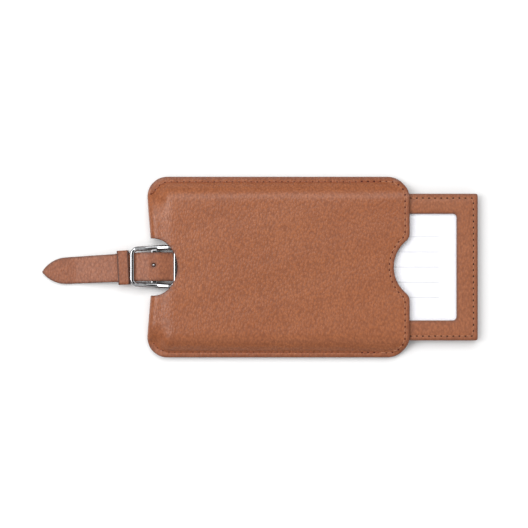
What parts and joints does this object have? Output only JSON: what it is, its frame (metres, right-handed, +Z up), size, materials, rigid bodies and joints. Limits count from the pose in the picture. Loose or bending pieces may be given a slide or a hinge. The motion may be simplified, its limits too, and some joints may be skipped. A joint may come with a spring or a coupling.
{
  "type": "luggage tag",
  "caption": "Leather luggage tag with a pull-out card holder behind a clear window and a buckled strap that loops through a notch in the folded pocket.",
  "frame": {"origin": "centre of the pocket's underside, the flat face it lies on", "axes": "+X along the tag towards the pocket's mouth, +Y across the tag, +Z up out of the front panel"},
  "size_m": [0.1831, 0.076, 0.0076],
  "materials": {
    "sleeve_leather": "tan, fine pebbled grain, satin",
    "insert_leather": "tan, fine grain, satin",
    "strap_leather": "tan, smooth grain, satin",
    "strap_backing": "tan, suede side",
    "lining": "brown twill",
    "thread": "matched brown sewing thread",
    "board": "grey board",
    "film": "clear plastic film",
    "card": "smooth white card",
    "polished_metal": "polished, nickel plated"
  },
  "bodies": {
    "sleeve": {"sleeve_shell": "sleeve_leather", "sleeve_front_lining": "lining", "sleeve_back_lining": "lining", "top_seam_thread": "thread", "bottom_seam_thread": "thread", "mouth_front_thread": "thread", "mouth_back_thread": "thread"},
    "card_holder": {"insert_back": "insert_leather", "insert_stiffener": "board", "insert_lining": "lining", "insert_front": "insert_leather", "window_film": "film", "insert_seam_thread": "thread"},
    "card": {"id_card": "card"},
    "strap": {"strap_leather": "strap_leather", "strap_lining": "strap_backing", "buckle_frame": "polished_metal", "buckle_peg": "polished_metal"},
    "keeper": {"keeper_loop": "strap_leather", "keeper_staple": "polished_metal"}
  },
  "joints": [
    {"name": "holder_slide", "type": "slide", "parent": "sleeve", "child": "card_holder", "axis": [1, 0, 0], "range_m": [-0.029, 0]},
    {"name": "card_slide", "type": "slide", "parent": "card_holder", "child": "card", "axis": [1, 0, 0], "range_m": [-0.007, 0]},
    {"name": "strap_sway", "type": "hinge", "parent": "card_holder", "child": "strap", "pos_m": [-0.0186, 0.0002, 0.00335], "axis": [0, 0, 1], "range_deg": [-4, 4]},
    {"name": "keeper_slide", "type": "slide", "parent": "strap", "child": "keeper", "axis": [-0.9986, -0.0532, 0], "range_m": [0, 0.009]}
  ]
}
